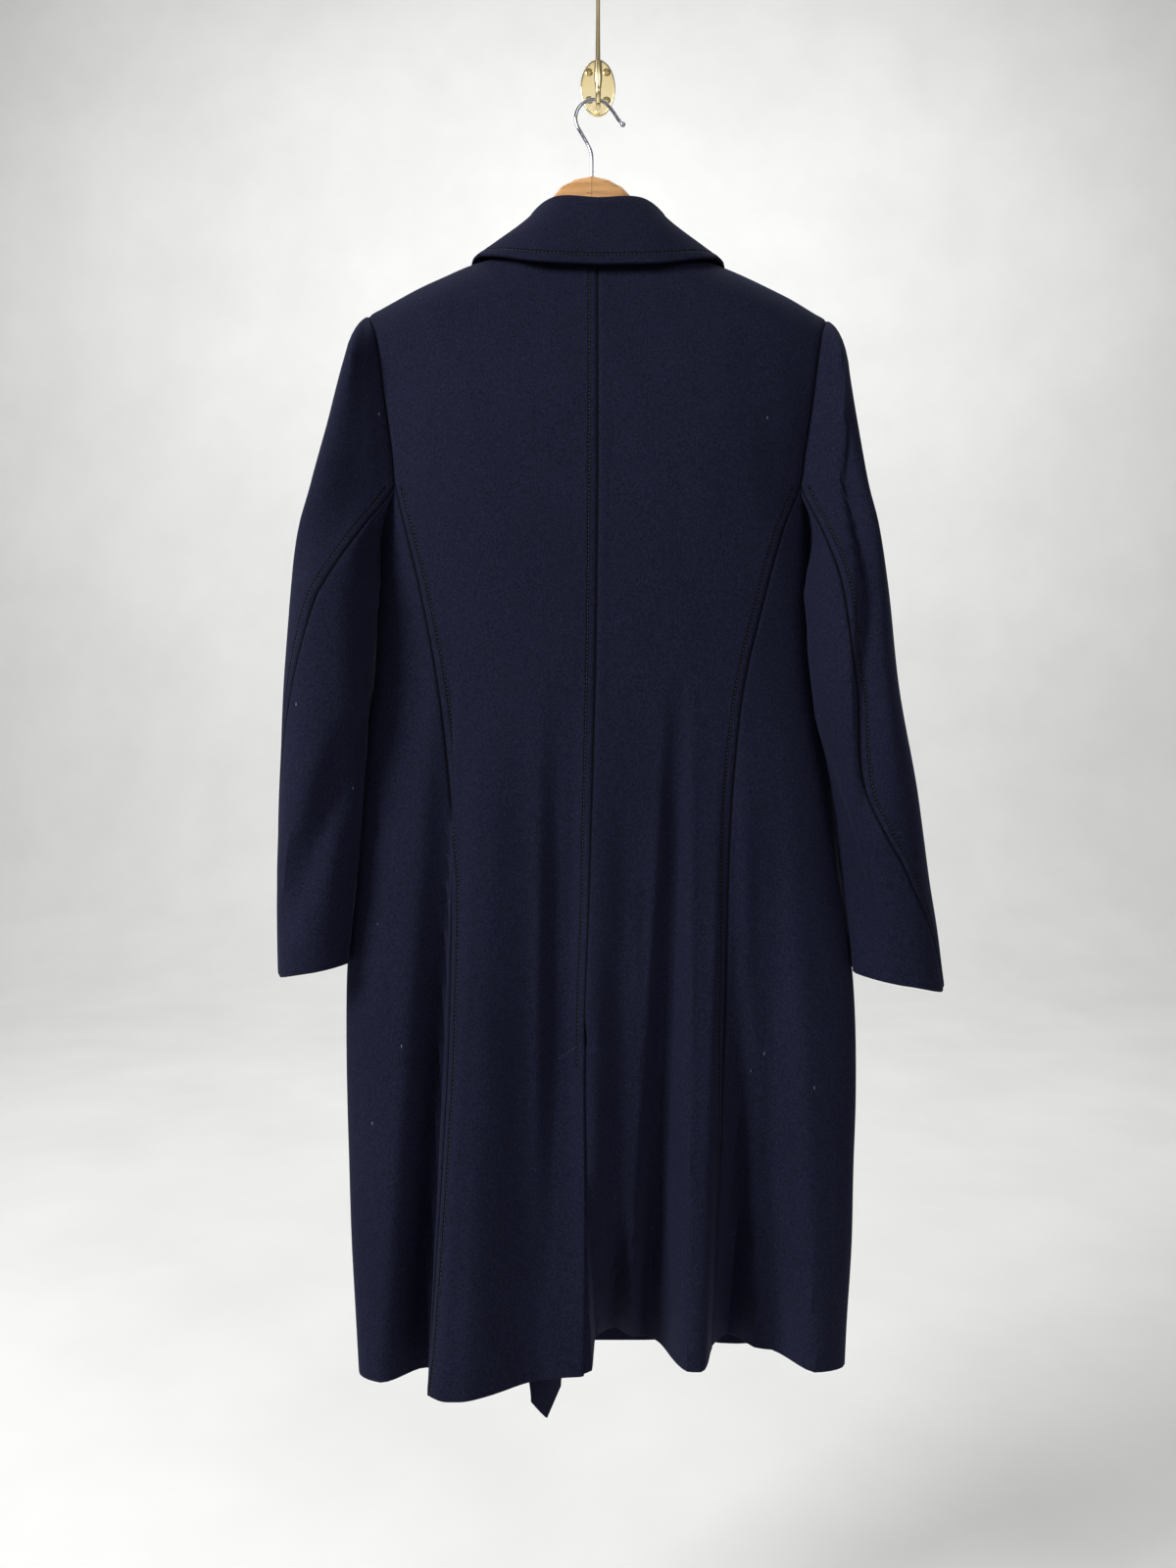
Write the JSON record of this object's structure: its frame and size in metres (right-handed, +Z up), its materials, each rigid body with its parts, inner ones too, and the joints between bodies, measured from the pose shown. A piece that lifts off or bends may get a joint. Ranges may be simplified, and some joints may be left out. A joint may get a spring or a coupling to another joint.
{
  "type": "belted wool coat on a wooden hanger, hung from a brass wall hook",
  "caption": "Long tailored wool coat with turn-down collar, back vent and tie belt, on a wooden hanger that hangs by its wire from a brass wall hook.",
  "frame": {"origin": "middle of the wall plate's back face, on the wall", "axes": "+Z up; +Y into the wall, so everything lies at negative Y; the coat's back faces -Y and its left is at -X"},
  "size_m": [0.6287, 0.1833, 1.4405],
  "materials": {
    "wool": "matt",
    "beech": "satin",
    "chrome": "polished",
    "brass": "polished"
  },
  "bodies": {
    "root": {"wall_hook": "brass", "hanger_hook": "chrome", "hanger_left": "beech", "hanger_right": "beech", "collar": "wool", "belt_knot": "wool", "belt_tail_long": "wool", "belt_tail_short": "wool", "screw_upper_left": "brass", "screw_upper_right": "brass", "screw_lower_left": "brass", "screw_lower_right": "brass", "back_left": "wool", "side_left": "wool", "front_left": "wool", "lapel_left": "wool", "belt_left": "wool", "sleeve_left_upper": "wool", "sleeve_left_under": "wool", "back_right": "wool", "side_right": "wool", "front_right": "wool", "lapel_right": "wool", "belt_right": "wool", "sleeve_right_upper": "wool", "sleeve_right_under": "wool"}
  },
  "joints": []
}
